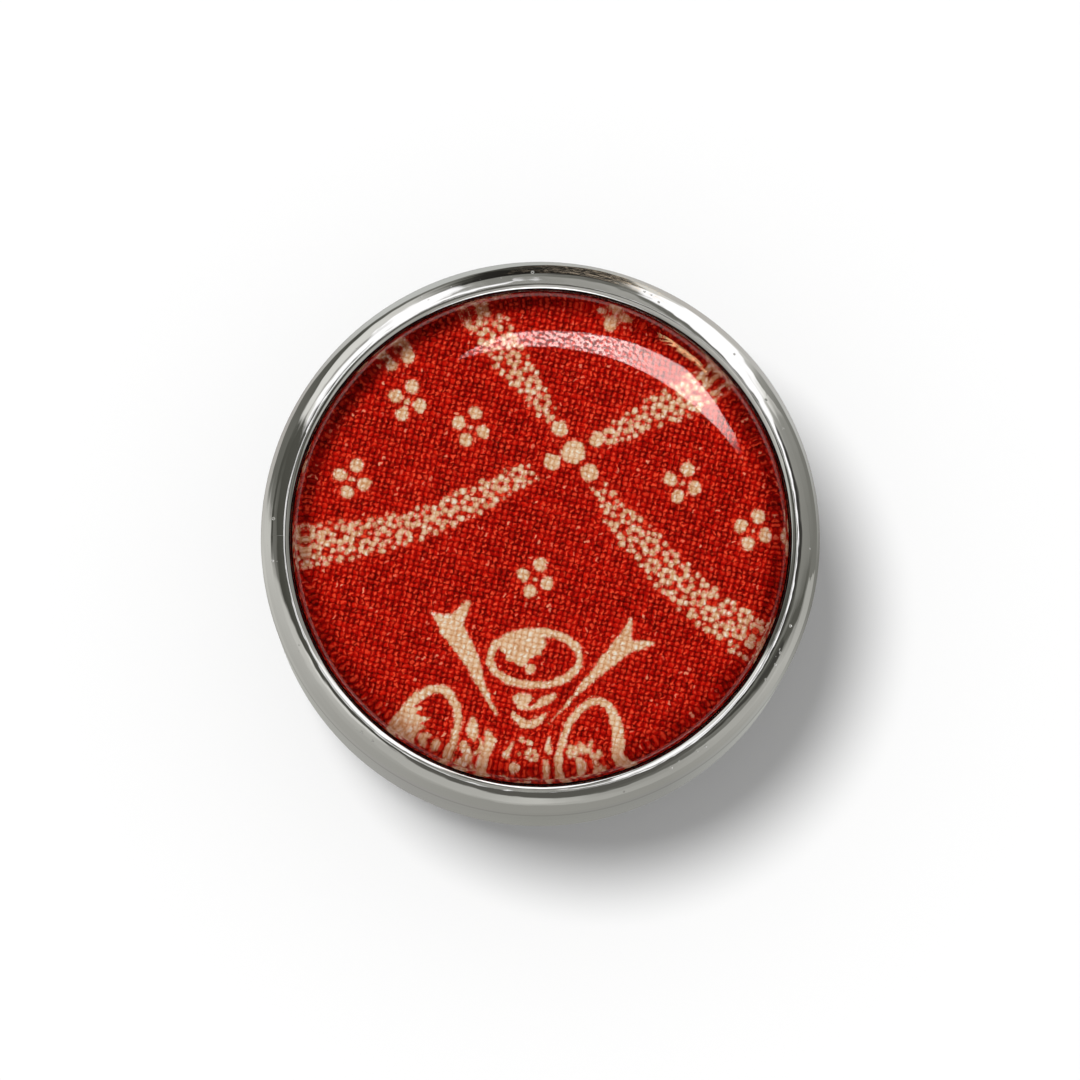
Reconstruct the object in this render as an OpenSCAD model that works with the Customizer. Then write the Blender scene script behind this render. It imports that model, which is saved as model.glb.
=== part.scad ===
// Lapel pin: a disc of printed cotton under a clear glass dome, set in a
// polished round bezel cup. A post soldered to the back of the cup goes through
// the lapel, and a round push-on clutch grips it from behind. The pin stands
// face up on its clutch. The origin is under the middle of the clutch, and +Z
// points up, out of the face.

/* [Glass and cloth] */
// Diameter of the glass dome
glass_d = 20; // [16:0.5:30]
// Height of the straight edge of the glass
glass_edge_h = 2.7; // [1.2:0.1:3]
// Radius of the sphere that the domed face is part of
cap_r = 28; // [20:1:60]
// Diameter of the domed face, inside its rounded shoulder
cap_d = 18.4; // [17.6:0.1:18.4]
// Thickness of the cotton disc
cloth_t = 1; // [0.6:0.1:2]

/* [Bezel] */
// Outer diameter, at the widest ring below the rim
bezel_d = 22.4; // [22:0.1:24]
// Height from the back of the cup to the top of the rim
bezel_h = 6; // [5:0.1:7]
// Thickness of the back
back_t = 1.6; // [0.8:0.1:2.2]
// Height of the rim's shoulder, from the widest ring to the top of the rim
shoulder_h = 0.5; // [0.4:0.05:0.8]
// Inward slope of the wall towards the back, in degrees
wall_draft = 0.5; // [0:0.5:6]
// Radius of the rounding on the inner edge of the rim
lip_r = 0.3; // [0.2:0.05:0.4]
// Radius of the rounding round the back
foot_r = 0.15; // [0.1:0.05:0.6]

/* [Post] */
// Diameter of the post
post_d = 1.1; // [0.9:0.1:1.4]
// Diameter of the soldered foot of the post
pad_d = 4.6; // [3:0.1:6]
// Thickness of the soldered foot of the post
pad_t = 0.4; // [0.2:0.1:0.8]
// Length of the pointed tip
tip_l = 1.2; // [0.8:0.1:1.6]
// Room for the lapel, between the foot of the post and the clutch
lapel_gap = 1.8; // [1.5:0.1:3]

/* [Clutch] */
// Diameter of the flange that bears on the lapel
flange_d = 11; // [10:0.5:14]
// Thickness of the flange
flange_t = 0.8; // [0.6:0.1:1.2]
// Diameter of the body
body_d = 9.6; // [8:0.1:10]
// Height of the whole clutch
clutch_h = 4; // [3.8:0.1:6]
// Radius of the rounding at the back of the body
body_r = 0.7; // [0.4:0.1:1.2]
// Thickness left behind the bore for the post
bore_floor = 0.7; // [0.5:0.1:1]

/* [Hidden] */
$fn = 96;

// Room between pieces that lie on each other or slide into each other
seat_gap = 0.05;
bore_gap = 0.1;
// The bevel round the glass: its width and its slope. The shoulder above it is
// rounded from the domed face to a slope a little under the bevel's
bevel_w = 0.2;
bevel_slope = 72;
shoulder_slope = 60;
// Steps of a rounded corner in a profile, and of a wide rounding
corner_steps = 8;
wide_steps = 20;

// Heights, from the surface that the clutch stands on
back_z = clutch_h + lapel_gap + pad_t;
cloth_z = back_z + back_t + seat_gap;
glass_z = cloth_z + cloth_t + seat_gap;

// Radii of the bezel: its bore and the top of its rim. The width of its shoulder
bore_r = glass_d / 2 + bore_gap;
crest_r = bore_r + lip_r;
shoulder_w = bezel_d / 2 - crest_r;
// Slope of the domed face where it ends, and the radius of the rounding that
// joins it to the bevel
cap_slope = asin(cap_d / 2 / cap_r);
bevel_r = glass_d / 2 - bevel_w;
round_r = (bevel_r - cap_d / 2) / (sin(shoulder_slope) - sin(cap_slope));

// Points on an upright oval's arc, and on a circle's, from angle a to angle b
function oval_arc(x, y, rx, ry, a, b, steps) =
    [for (i = [0 : steps]) let (t = a + (b - a) * i / steps) [x + rx * cos(t), y + ry * sin(t)]];
function arc(x, y, r, a, b, steps) = oval_arc(x, y, r, r, a, b, steps);

// The oval shoulder starts where it has the wall's slope. Where the sloping wall
// ends above the back, and its radius there
shoulder_y = bezel_h - shoulder_h;
shoulder_start = -atan(tan(wall_draft) * shoulder_h / shoulder_w);
wall_end_r = crest_r + shoulder_w * cos(shoulder_start)
    - (shoulder_y + shoulder_h * sin(shoulder_start) - foot_r) * tan(wall_draft);

// Half of the cup's section, from the middle of its back round the outside
module cup_section() {
    polygon(concat(
        [[0, 0]],
        arc(wall_end_r - foot_r, foot_r, foot_r, -90, -wall_draft, corner_steps),
        oval_arc(crest_r, shoulder_y, shoulder_w, shoulder_h, shoulder_start, 90, wide_steps),
        arc(crest_r, bezel_h - lip_r, lip_r, 90, 180, corner_steps),
        [[bore_r, back_t], [0, back_t]]
    ));
}

// The post hangs from its soldered foot and ends in a rounded point
module post() {
    post_l = back_z - bore_floor - 2 * bore_gap;
    translate([0, 0, back_z - pad_t]) cylinder(d = pad_d, h = pad_t);
    translate([0, 0, back_z - post_l + tip_l]) cylinder(d = post_d, h = post_l - tip_l);
    translate([0, 0, back_z - post_l]) cylinder(d1 = post_d / 4, d2 = post_d, h = tip_l);
}

module bezel() {
    color("#a9aca6") union() {
        translate([0, 0, back_z]) rotate_extrude() cup_section();
        post();
    }
}

module cloth_disc() {
    color("#b3160c") translate([0, 0, cloth_z]) cylinder(d = glass_d, h = cloth_t);
}

// Half of the glass's section, from the middle of its flat underside round the
// straight edge, the bevel, the rounded shoulder and the domed face
module glass_section() {
    bevel_top = glass_edge_h + bevel_w * tan(bevel_slope);
    round_y = bevel_top - round_r * cos(shoulder_slope);
    cap_y = round_y + round_r * cos(cap_slope) - cap_r * cos(cap_slope);
    polygon(concat(
        [[0, 0], [glass_d / 2, 0], [glass_d / 2, glass_edge_h]],
        arc(bevel_r - round_r * sin(shoulder_slope), round_y, round_r,
            90 - shoulder_slope, 90 - cap_slope, corner_steps),
        arc(0, cap_y, cap_r, 90 - cap_slope, 90, wide_steps)
    ));
}

module glass_dome() {
    color("#e6efee", 0.4) translate([0, 0, glass_z]) rotate_extrude() glass_section();
}

// Half of the clutch's section: a flat back, a round body and a wider flange
module clutch_section() {
    flange_z = clutch_h - flange_t;
    edge_r = flange_t / 2;
    polygon(concat(
        [[0, 0]],
        arc(body_d / 2 - body_r, body_r, body_r, -90, 0, corner_steps),
        [[body_d / 2, flange_z]],
        arc(flange_d / 2 - edge_r, flange_z + edge_r, edge_r, -90, 90, corner_steps),
        [[0, clutch_h]]
    ));
}

module clutch() {
    color("#c0c2be") difference() {
        rotate_extrude() clutch_section();
        translate([0, 0, bore_floor]) cylinder(d = post_d + 2 * bore_gap, h = clutch_h);
    }
}

bezel();
cloth_disc();
glass_dome();
clutch();
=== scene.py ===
# %% [markdown]
# A lapel pin: printed red cotton under a clear glass cabochon, held in a polished, plated cup.
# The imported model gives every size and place. This lesson dresses it, and works out a finish
# for each piece from what the real one is made of.

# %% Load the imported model
import math
from functools import partial

import bmesh
import bpy
import numpy as np
from mathutils import Matrix, Vector


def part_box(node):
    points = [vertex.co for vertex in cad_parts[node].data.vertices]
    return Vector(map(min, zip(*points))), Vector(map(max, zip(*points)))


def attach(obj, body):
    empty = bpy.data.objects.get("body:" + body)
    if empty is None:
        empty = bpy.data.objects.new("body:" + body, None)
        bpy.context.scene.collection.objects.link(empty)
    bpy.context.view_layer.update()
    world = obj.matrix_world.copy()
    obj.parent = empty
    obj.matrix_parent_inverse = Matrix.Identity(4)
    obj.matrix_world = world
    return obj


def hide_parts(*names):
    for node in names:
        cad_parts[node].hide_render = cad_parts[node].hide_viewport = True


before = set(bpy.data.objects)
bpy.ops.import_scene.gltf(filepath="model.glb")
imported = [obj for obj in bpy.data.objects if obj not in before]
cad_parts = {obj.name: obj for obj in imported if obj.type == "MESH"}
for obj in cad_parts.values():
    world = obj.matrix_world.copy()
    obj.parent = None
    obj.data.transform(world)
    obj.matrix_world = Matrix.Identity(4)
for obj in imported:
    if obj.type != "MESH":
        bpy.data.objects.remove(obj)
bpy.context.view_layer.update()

# %% [markdown]
# Everything is in metres. Colours are written as they read on a screen, and are turned to the
# linear values that shaders work in. A direction is given by its lean from straight up.

# %% Units, colours and directions
MM = 0.001


def linear(hex_code):
    """A screen colour such as #A81008 as the linear red, green, blue and alpha of a shader."""
    channels = [int(hex_code[i:i + 2], 16) / 255 for i in (1, 3, 5)]
    return [c / 12.92 if c < 0.04045 else ((c + 0.055) / 1.055) ** 2.4 for c in channels] + [1]


def leaning(lean_degrees, side_degrees):
    """The direction that leans this far from straight up, towards this azimuth."""
    lean, side = math.radians(lean_degrees), math.radians(side_degrees)
    return Vector((math.sin(lean) * math.cos(side), math.sin(lean) * math.sin(side), math.cos(lean)))


# %% [markdown]
# One function adds a node with its settings and links, and each finish has it as add, for its
# own tree. Another fills a ramp from a table, which is easier to read. The others are small
# groups of nodes that several finishes share.

# %% Nodes
def add_node(tree, kind, inputs=(), **settings):
    """Adds a node of a kind and operation. Inputs are values, or nodes and outputs to link."""
    kind, *operation = kind.split()
    new = tree.nodes.new("ShaderNode" + kind)
    for name in operation:
        new.operation = name
    for name, value in settings.items():
        setattr(new, name, value)
    for key, value in inputs.items() if isinstance(inputs, dict) else enumerate(inputs):
        if isinstance(value, bpy.types.Node):
            value = next(output for output in value.outputs if output.enabled)
        if isinstance(value, bpy.types.NodeSocket):
            tree.links.new(value, new.inputs[key])
        else:
            new.inputs[key].default_value = value
    return new


def fill_ramp(ramp_node, stops, full):
    """Sets a ramp from a table of screen colours or numbers by place. Full is the last place."""
    ramp = ramp_node.color_ramp
    while len(ramp.elements) < len(stops):
        ramp.elements.new(0.5)
    for element, place in zip(ramp.elements, stops):
        element.position = place / full
    for element, value in zip(ramp.elements, stops.values()):
        element.color = linear(value) if isinstance(value, str) else [value] * 3 + [1]
    return ramp_node


def azimuth_of(add, axes):
    """The azimuth of a vector's separated axes, from 0 to 1 for a full turn."""
    turn = add("Math ARCTAN2", [axes.outputs[1], axes.outputs[0]])
    turn = add("Math MULTIPLY", [turn, 1 / math.tau])
    return add("Math WRAP", [turn, 1.0, 0.0])


def reach_of(add, axes):
    """How far a place is from the pin's axis, from its separated axes."""
    flat = add("CombineXYZ", [axes.outputs[0], axes.outputs[1]])
    return add("VectorMath LENGTH", [flat])


def fade(add, share, masks):
    """Lets a share through only where each mask is open: its value, shut at and open at."""
    for value, shut_at, open_at in masks:
        mask = add("MapRange", [value, shut_at, open_at])
        share = add("Math MULTIPLY", [share, mask])
    return share


def new_material(name):
    """An empty node material, and the function that adds nodes to it."""
    material = bpy.data.materials.new(name)
    material.use_nodes = True
    material.node_tree.nodes.clear()
    return material, partial(add_node, material.node_tree)


# %% [markdown]
# The camera looks down on the face, a little from the front, so that the wall of the cup shows
# there. A long lens keeps the circles round. It is turned until +Y points up the picture.

# %% Camera
view_back = leaning(7.4, 265)
camera_distance = 240.5 * MM
lens_mm = 200
sensor_mm = 36
rim_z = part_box("bezel")[1].z
aim = Vector((-0.017 * MM, -0.088 * MM, rim_z - 0.62 * MM))
view_right = Vector((0, 1, 0)).cross(view_back).normalized()
view_up = view_back.cross(view_right)

camera_data = bpy.data.cameras.new("camera")
camera_data.lens = lens_mm
camera_data.sensor_width = sensor_mm
camera_data.clip_start = 5 * MM
camera_data.clip_end = 20
camera = bpy.data.objects.new("camera", camera_data)
camera.location = aim + camera_distance * view_back
camera.rotation_euler = Matrix((view_right, view_up, view_back)).transposed().to_euler()
bpy.context.scene.collection.objects.link(camera)
bpy.context.scene.camera = camera
bpy.context.scene.view_settings.view_transform = "Standard"
print("frame width in mm:", round(1000 * camera_distance * sensor_mm / lens_mm, 2))

# %% [markdown]
# The pin stands on matt white card. To glossy rays it glows instead, as a painted reflection of
# a table that falls off into the room. Its tones go by azimuth, which runs anticlockwise from the
# right of the picture, and there is no shadow in it. The metal's own tint is divided out. Near the pin
# it is seen at a steep angle and reflects more.

# %% Floor
floor_half_width = 1.5
floor_white = 0.79
metal_reflectance = 0.58
steep_reflectance = 0.86
near_floor, far_floor = 14 * MM, 34 * MM
FLOOR_IN_METAL = {
    0: "#74746E", 30: "#B3B4B0", 60: "#B3B0AA", 90: "#B0B2AE", 120: "#B8BAB6", 150: "#A9A6A1",
    180: "#BCBCB6", 210: "#A1A19B", 240: "#93928E", 270: "#8A8A84", 300: "#8A8A86", 330: "#A3A49F",
    350: "#7A7A74", 360: "#74746E",
}

bpy.ops.object.select_all(action="DESELECT")
bpy.ops.mesh.primitive_plane_add(size=2 * floor_half_width)
floor = bpy.context.object
floor.name = "floor"

floor_material, add = new_material("matt white card")
floor_axes = add("SeparateXYZ", [add("TexCoord").outputs["Object"]])
painted_floor_reflection = fill_ramp(add("ValToRGB", [azimuth_of(add, floor_axes)]), FLOOR_IN_METAL, 360)
floor_strength = add("MapRange", [
    reach_of(add, floor_axes), near_floor, far_floor, 1 / steep_reflectance, 1 / metal_reflectance])
# painted reflection: for glossy rays the card glows with these tones and is never shadowed
floor_glow = add("Emission", {"Color": painted_floor_reflection, "Strength": floor_strength})
floor_shader = add("BsdfDiffuse", {"Color": [floor_white] * 3 + [1]})
floor_path = add("LightPath")
floor_mix = add("MixShader", [floor_path.outputs["Is Glossy Ray"], floor_shader, floor_glow])
add("OutputMaterial", {"Surface": floor_mix})
floor.data.materials.append(floor_material)

# %% [markdown]
# One soft lamp high on the left throws the shadow to the lower right, and its width sets how
# soft that is. The metal and the glass see painted screens, so the lamp is hidden from them.

# %% Key lamp
key_from = leaning(15.5, 147)
key_distance = 3.0
key_spread = math.radians(17.2)
key_power = 75.0


def area_lamp(name, shape, size, power, place):
    """An area lamp that faces down, unseen by the camera and through the glass."""
    lamp = bpy.data.objects.new(name, bpy.data.lights.new(name, "AREA"))
    lamp.data.shape = shape
    lamp.data.size = size
    lamp.data.energy = power
    lamp.location = place
    lamp.visible_camera = False
    lamp.visible_transmission = False
    bpy.context.scene.collection.objects.link(lamp)
    return lamp


key_size = 2 * key_distance * math.tan(key_spread / 2)
key_lamp = area_lamp("key_lamp", "DISK", key_size, key_power, key_distance * key_from)
key_lamp.rotation_euler = key_from.to_track_quat("Z", "Y").to_euler()
key_lamp.visible_glossy = False

# %% [markdown]
# The inner lip of the rim carries a thin bright line, from light that the domed glass throws on
# it. A small oval lamp over the glass, which lights only the metal, gives it without noise.

# %% Small lamp over the rim
glow_width = 6 * MM
glow_length = 14.5 * MM
glow_height = 4 * MM
glow_power = 0.00042
glow_lamp = area_lamp("rim_glow", "ELLIPSE", glow_width, glow_power, (0, 0, rim_z + glow_height))
glow_lamp.data.size_y = glow_length
glow_lamp.visible_diffuse = False
rim_only = bpy.data.collections.new("lit_by_rim_glow")
glow_lamp.light_linking.receiver_collection = rim_only

# %% [markdown]
# Polished plating shows little but its surroundings, so the studio matters as much as the metal.
# It is painted in bands from overhead down: each has its tones by azimuth, and a lower one the
# polar angle where it begins. White screens stand on both sides, with a dark gap between them.

# %% Room: overhead and upper band
ZENITH_ROOM = {
    0: "#5B5B55", 8: "#6F6F69", 20: "#4C4C46", 30: "#353431", 46: "#353431", 50: "#FFFFFF",
    66: "#FFFFFF", 67.5: "#64645E", 74: "#64645E", 76.5: "#9B9B95", 86: "#8F8F89", 90.5: "#85857F",
    92: "#FFFFFF", 103: "#FFFFFF", 107: "#4B4B45", 145: "#494943", 172: "#41413B", 177: "#979791",
    181: "#CDCDC7", 195: "#CDCDC7", 205: "#A9A9A3", 235: "#9A9A94", 250: "#8D8D87", 262: "#71716B",
    272: "#5B5B55", 292: "#565650", 325: "#65655F", 338: "#71716B", 344: "#3F3F39", 352: "#393835",
    357: "#494943",
}
UPPER_EDGE = {
    0: 14, 10: 15.5, 25: 17.5, 43: 20, 48: 18, 50: 12, 66: 12, 67.5: 27, 84: 27, 91: 29, 92: 17,
    100: 16, 104: 13, 118: 13, 128: 15, 133: 19, 138: 27, 143: 30, 150: 29, 160: 21.5, 176: 23,
    180: 16, 200: 13, 215: 9, 250: 8, 270: 12.5, 292: 15.5, 325: 21, 334: 24, 343: 30, 351: 28,
    357: 20,
}
UPPER_ROOM = {
    0: "#595953", 8: "#787872", 20: "#7F7F79", 36: "#8A8A84", 43: "#A1A19B", 47: "#C9C9C3",
    48.5: "#FFFFFF", 70.5: "#FFFFFF", 72.5: "#8D8D87", 75: "#60605A", 86: "#6F6F69", 97: "#83837D",
    100: "#979791", 101.5: "#FFFFFF", 130: "#FFFFFF", 133: "#D7D7D1", 141: "#CECEC8", 144: "#51514B",
    150: "#4B4B45", 160: "#63635D", 172: "#6C6C66", 177: "#B5B5AF", 192: "#B9B9B3", 203: "#ABABA5",
    215: "#A4A49E", 255: "#A8A8A2", 272: "#B7B7B1", 290: "#979791", 308: "#94948E", 325: "#A3A39D",
    344: "#9F9F99", 352: "#51514B",
}

# %% [markdown]
# The middle and lower bands show on the shoulder of the rim, nearer to its outline. The lowest
# ends at the table's edge, and past it the metal shows the same tones as on the floor.

# %% Room: middle and lower bands
MIDDLE_EDGE = {
    0: 32, 8: 45, 20: 36, 35: 34, 41: 28, 46: 26, 50: 40, 66: 50, 71: 55, 74: 37, 88: 36, 100: 34,
    102: 37, 116: 37, 120: 23, 130: 23, 134: 30, 138: 42, 143: 42, 150: 36, 172: 35, 200: 25, 215: 24,
    235: 30, 270: 32, 290: 26, 308: 27, 330: 42, 343: 40, 350: 34, 356: 44,
}
MIDDLE_ROOM = {
    0: "#53534D", 8: "#6F6F69", 20: "#7A7A74", 35: "#878781", 40: "#BFBFB9", 44: "#DDDDD7",
    47: "#FFFFFF", 70: "#FFFFFF", 73: "#797973", 76: "#3B3A37", 84: "#252421", 90: "#161512",
    100: "#282724", 103: "#474741", 108: "#979791", 113: "#BFBFB9", 120: "#CECEC8", 139: "#D4D4CE",
    143: "#60605A", 150: "#494943", 170: "#41413B", 174: "#797973", 178: "#B2B2AC", 200: "#A5A59F",
    215: "#9E9E98", 240: "#989892", 270: "#A5A59F", 290: "#A0A09A", 308: "#999993", 330: "#A6A6A0",
    342: "#AFAFA9", 353: "#83837D",
}
LOWER_EDGE = {
    0: 42, 8: 60, 35: 60, 42: 40, 46: 48, 49: 66, 62: 68, 66: 56, 71: 56, 74: 48, 90: 55, 100: 65,
    104: 60, 113: 57, 128: 54, 138: 44, 150: 45, 160: 42, 172: 42, 215: 40, 255: 36, 270: 37, 290: 41,
    308: 46, 330: 47, 342: 50, 355: 49,
}
LOWER_ROOM = {
    0: "#6F6F69", 20: "#71716B", 36: "#777771", 44: "#8D8D87", 49: "#C5C5BF", 66: "#C9C9C3",
    70.5: "#D1D1CB", 72: "#5B5B55", 76: "#302F2C", 84: "#252421", 92: "#252421", 97: "#474741",
    101: "#6A6A64", 114: "#676761", 128: "#45453F", 138: "#595953", 146: "#62625C", 159: "#62625C",
    163: "#797973", 167: "#B5B5AF", 172: "#BBBBB5", 185: "#AFAFA9", 200: "#A4A49E", 215: "#9A9A94",
    235: "#95958F", 255: "#8E8E88", 300: "#8C8C86", 322: "#999993", 342: "#ACACA6", 354: "#A1A19B",
}
TABLE_EDGE = {
    0: 88, 20: 88, 36: 80, 50: 74, 62: 70, 72: 80, 77: 90, 89: 82, 102: 70, 116: 70, 129: 76, 143: 88,
    157: 79, 180: 86,
}

# %% [markdown]
# The world turns each direction into its azimuth and polar angle. Real screens have soft, uneven
# edges, so the azimuth wobbles a little, and each band fades into the next.

# %% Room: directions and bands
world = bpy.data.worlds.new("studio")
bpy.context.scene.world = world
world.use_nodes = True
world.node_tree.nodes.clear()
add = partial(add_node, world.node_tree)
direction = add("TexCoord").outputs["Generated"]
axes = add("SeparateXYZ", [direction])
room_noise = add("TexNoise", {"Vector": direction, "Scale": 5.0, "Detail": 2.0})
wobble = add("MapRange", [room_noise, 0.3, 0.7, -0.006, 0.006])
turn = add("Math ADD", [azimuth_of(add, axes), wobble])
azimuth = add("Math WRAP", [turn, 1.0, 0.0])
azimuth_degrees = add("Math MULTIPLY", [azimuth, 360.0])
polar = add("Math ARCCOSINE", [axes.outputs[2]])
polar = add("Math MULTIPLY", [polar, 180 / math.pi])

edge_blur = 2.0
room = fill_ramp(add("ValToRGB", [azimuth]), ZENITH_ROOM, 360)
for edge_stops, room_stops in ((UPPER_EDGE, UPPER_ROOM), (MIDDLE_EDGE, MIDDLE_ROOM),
                               (LOWER_EDGE, LOWER_ROOM), (TABLE_EDGE, FLOOR_IN_METAL)):
    edge = fill_ramp(add("ValToRGB", [azimuth]), edge_stops, 360)
    band_room = fill_ramp(add("ValToRGB", [azimuth]), room_stops, 360)
    past = add("Math SUBTRACT", [polar, edge])
    share = add("MapRange", [past, -edge_blur, edge_blur], interpolation_type="SMOOTHSTEP")
    room = add("Mix", {0: share, 6: room, 7: band_room}, data_type="RGBA")

# %% [markdown]
# Three small things lie over the bands: a thin shadow line across the left screen, warm flecks in
# the gap beside the right one, as from a crinkled foil, and the camera, a dark spot overhead.

# %% Room: shadow line, flecks and camera
line_polar = 27.0
line_half, line_core = 4.0, 1.0
line_from = add("Math SUBTRACT", [polar, line_polar])
line_from = add("Math ABSOLUTE", [line_from])
line_share = add("MapRange", [line_from, line_half, line_core, 0.0, 0.75])
line_share = fade(add, line_share, ((azimuth_degrees, 113, 121), (azimuth_degrees, 142, 130)))
room = add("Mix", {0: line_share, 6: room, 7: linear("#74736E")}, data_type="RGBA")

fleck_noise = add("TexNoise", {"Vector": direction, "Scale": 60.0, "Detail": 1.0})
fleck = add("MapRange", [fleck_noise, 0.57, 0.64])
fleck = fade(add, fleck, ((azimuth_degrees, 64, 67), (azimuth_degrees, 96, 72),
                          (polar, 37, 42), (polar, 98, 88)))
room = add("Mix", {0: fleck, 6: room, 7: linear("#F0DCC0")}, data_type="RGBA")

spot_outside, spot_inside = math.radians(8), math.radians(6)
spot_cos = add("VectorMath DOT_PRODUCT", [direction, leaning(4, 290)])
spot = add("MapRange", [spot_cos, math.cos(spot_outside), math.cos(spot_inside)])
room = add("Mix", {0: spot, 6: room, 7: linear("#53524D")}, data_type="RGBA")

# %% [markdown]
# Glass reflects little, so it shows only the brightest screens, as a crescent near the top of the
# dome: a strip of the room with its own top, foot and brightness at each azimuth. Its left end
# is broken into fine dashes by noise that is finer down the strip than along it.

# %% Room: the crescent in the glass
STRIP_TOP = {0: 41.3, 28: 41.3, 36: 40.95, 47: 40.6, 57: 40.45, 67: 40.3, 81: 40.2, 360: 40.2}
STRIP_FOOT = {
    0: 41.0, 28: 41.5, 36: 42.75, 47: 43.9, 57: 45.15, 67: 44.5, 81: 43.5, 96: 43.1, 107: 41.2,
    112: 39.9, 360: 39.9,
}
STRIP_LIGHT = {31: 0.0, 36: 7.5, 44: 12.0, 60: 11.0, 75: 8.5, 90: 7.0, 104: 4.5, 114: 1.5}
strip_top, strip_foot, strip_light = [
    fill_ramp(add("ValToRGB", [azimuth]), stops, 360)
    for stops in (STRIP_TOP, STRIP_FOOT, STRIP_LIGHT)]
from_top = add("Math SUBTRACT", [polar, strip_top])
to_foot = add("Math SUBTRACT", [strip_foot, polar])
strip = fade(add, strip_light, ((from_top, -0.05, 0.25), (to_foot, -0.15, 0.15)))

dash_at = add("VectorMath MULTIPLY", [direction, (85, 0, 130)])
dashes = add("TexNoise", {"Vector": dash_at, "Scale": 1.0, "Detail": 0.5})
dashes = add("MapRange", [dashes, 0.44, 0.58, 0.45, 2.2])
dash_share = add("MapRange", [azimuth_degrees, 60, 74])
dashes = add("Mix", {0: dash_share, 2: 1.0, 3: dashes}, data_type="FLOAT")
strip = add("Math MULTIPLY", [strip, dashes])

dim_room = 0.012
glass_sees = add("Math ADD", [strip, dim_room])
glass_room = add("VectorMath SCALE", {0: linear("#FFE6E2")[:3], "Scale": glass_sees})

# %% [markdown]
# The shoulder of the glass also picks up a short feather of warm light at the upper right.

# %% Room: warm feather in the glass
warm_strength = 20
warm_at = add("VectorMath MULTIPLY", [direction, (30, 90, 12)])
warm = add("TexNoise", {"Vector": warm_at, "Scale": 1.0, "Detail": 1.0})
warm = add("MapRange", [warm, 0.45, 0.53])
warm = fade(add, warm, ((azimuth_degrees, 51, 52), (azimuth_degrees, 63, 61),
                        (polar, 47, 48.5), (polar, 62, 60.5)))
warm_light = add("VectorMath SCALE", {0: linear("#FFCF98")[:3], "Scale": warm})
glass_room = add("VectorMath MULTIPLY_ADD", [warm_light, [warm_strength] * 3, glass_room])

# %% [markdown]
# Each kind of ray gets its own room: the camera a white backdrop, matt surfaces even light, the
# slightly blurred rays of the metal the painted room, and the sharp ones of the glass the
# crescent. Nothing of the room comes through the glass, so the cotton keeps its depth.

# %% Room: what each ray sees
ambient = 0.50
backdrop = 0.99
seen = add("Background", [[1, 1, 1, 1], ambient])
in_metal = add("Background", [room, 1 / metal_reflectance])
in_glass = add("Background", [glass_room, 1.0])
no_light = add("Background", [[0, 0, 0, 1], 0.0])
open_backdrop = add("Background", [[1, 1, 1, 1], backdrop])
path = add("LightPath")
for ray, background in (("Is Glossy Ray", in_metal), ("Is Singular Ray", in_glass),
                        ("Is Transmission Ray", no_light), ("Is Camera Ray", open_backdrop)):
    seen = add("MixShader", [path.outputs[ray], seen, background])
add("OutputWorld", {"Surface": seen})
print("room has", len(world.node_tree.nodes), "nodes")

# %% [markdown]
# The round parts are turned, as on a lathe. One vertex is the pen that draws a half section: it
# is extruded along straight stretches and spun round a centre for arcs. The finished line is
# spun once round the axis. A spin in Blender turns clockwise for a positive angle.

# %% Pen and lathe
turned_sides = 256
tiny = 1e-7


def start_section(name, radius, height):
    """Puts the pen, a single vertex, at this radius and height, in edit mode."""
    bpy.ops.object.select_all(action="DESELECT")
    bpy.ops.mesh.primitive_plane_add(size=MM)
    bpy.context.object.name = name
    bpy.ops.object.mode_set(mode="EDIT")
    bpy.ops.mesh.select_all(action="SELECT")
    bpy.ops.mesh.merge(type="CENTER")
    bpy.ops.transform.translate(value=(radius, 0, height))


def line_to(radius, height):
    """Draws a straight line from the pen to this radius and height."""
    section = bmesh.from_edit_mesh(bpy.context.object.data)
    pen = next(v.co.copy() for v in section.verts if v.select)
    step = Vector((radius, 0, height)) - pen
    bpy.ops.mesh.extrude_region_move(TRANSFORM_OT_translate={"value": step})


def arc_round(radius, height, degrees, steps):
    """Draws an arc round this centre. Positive degrees turn from overhead to outwards."""
    bpy.ops.mesh.spin(steps=steps, angle=-math.radians(degrees), center=(radius, 0, height),
                      axis=(0, 1, 0))


def turn_section(sides=turned_sides, smooth_degrees=34):
    """Spins the finished section round the axis, closes it and returns the object."""
    bpy.ops.mesh.select_all(action="SELECT")
    bpy.ops.mesh.spin(steps=sides, angle=math.tau, center=(0, 0, 0), axis=(0, 0, 1), use_auto_merge=True)
    bpy.ops.mesh.select_all(action="SELECT")
    bpy.ops.mesh.remove_doubles(threshold=tiny)
    bpy.ops.mesh.normals_make_consistent(inside=False)
    bpy.ops.object.mode_set(mode="OBJECT")
    piece = bpy.context.object
    bpy.ops.object.shade_smooth_by_angle(angle=math.radians(smooth_degrees))
    print(piece.name, "has", len(piece.data.polygons), "faces")
    return piece


# %% [markdown]
# The cup, its soldered post and the post's foot are one turned shape. Its sizes are measured
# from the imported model's height and widest ring, so it takes the plain one's place.

# %% Bezel: sizes
bezel_low, bezel_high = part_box("bezel")
cloth_low, cloth_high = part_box("cloth_disc")
glass_low, glass_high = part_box("glass_dome")
clutch_low, clutch_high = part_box("clutch")

seat_gap = 0.05 * MM
back_thickness = 1.6 * MM
back_z = cloth_low.z - seat_gap - back_thickness
ring_radius = bezel_high.x
bore_radius = glass_high.x + 0.02 * MM
crest_radius = glass_high.x + 0.26 * MM
shoulder_width = ring_radius - crest_radius
shoulder_height = 0.5 * MM
shoulder_z = rim_z - shoulder_height
wall_draft = math.radians(0.5)
foot_round = 0.15 * MM

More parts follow.
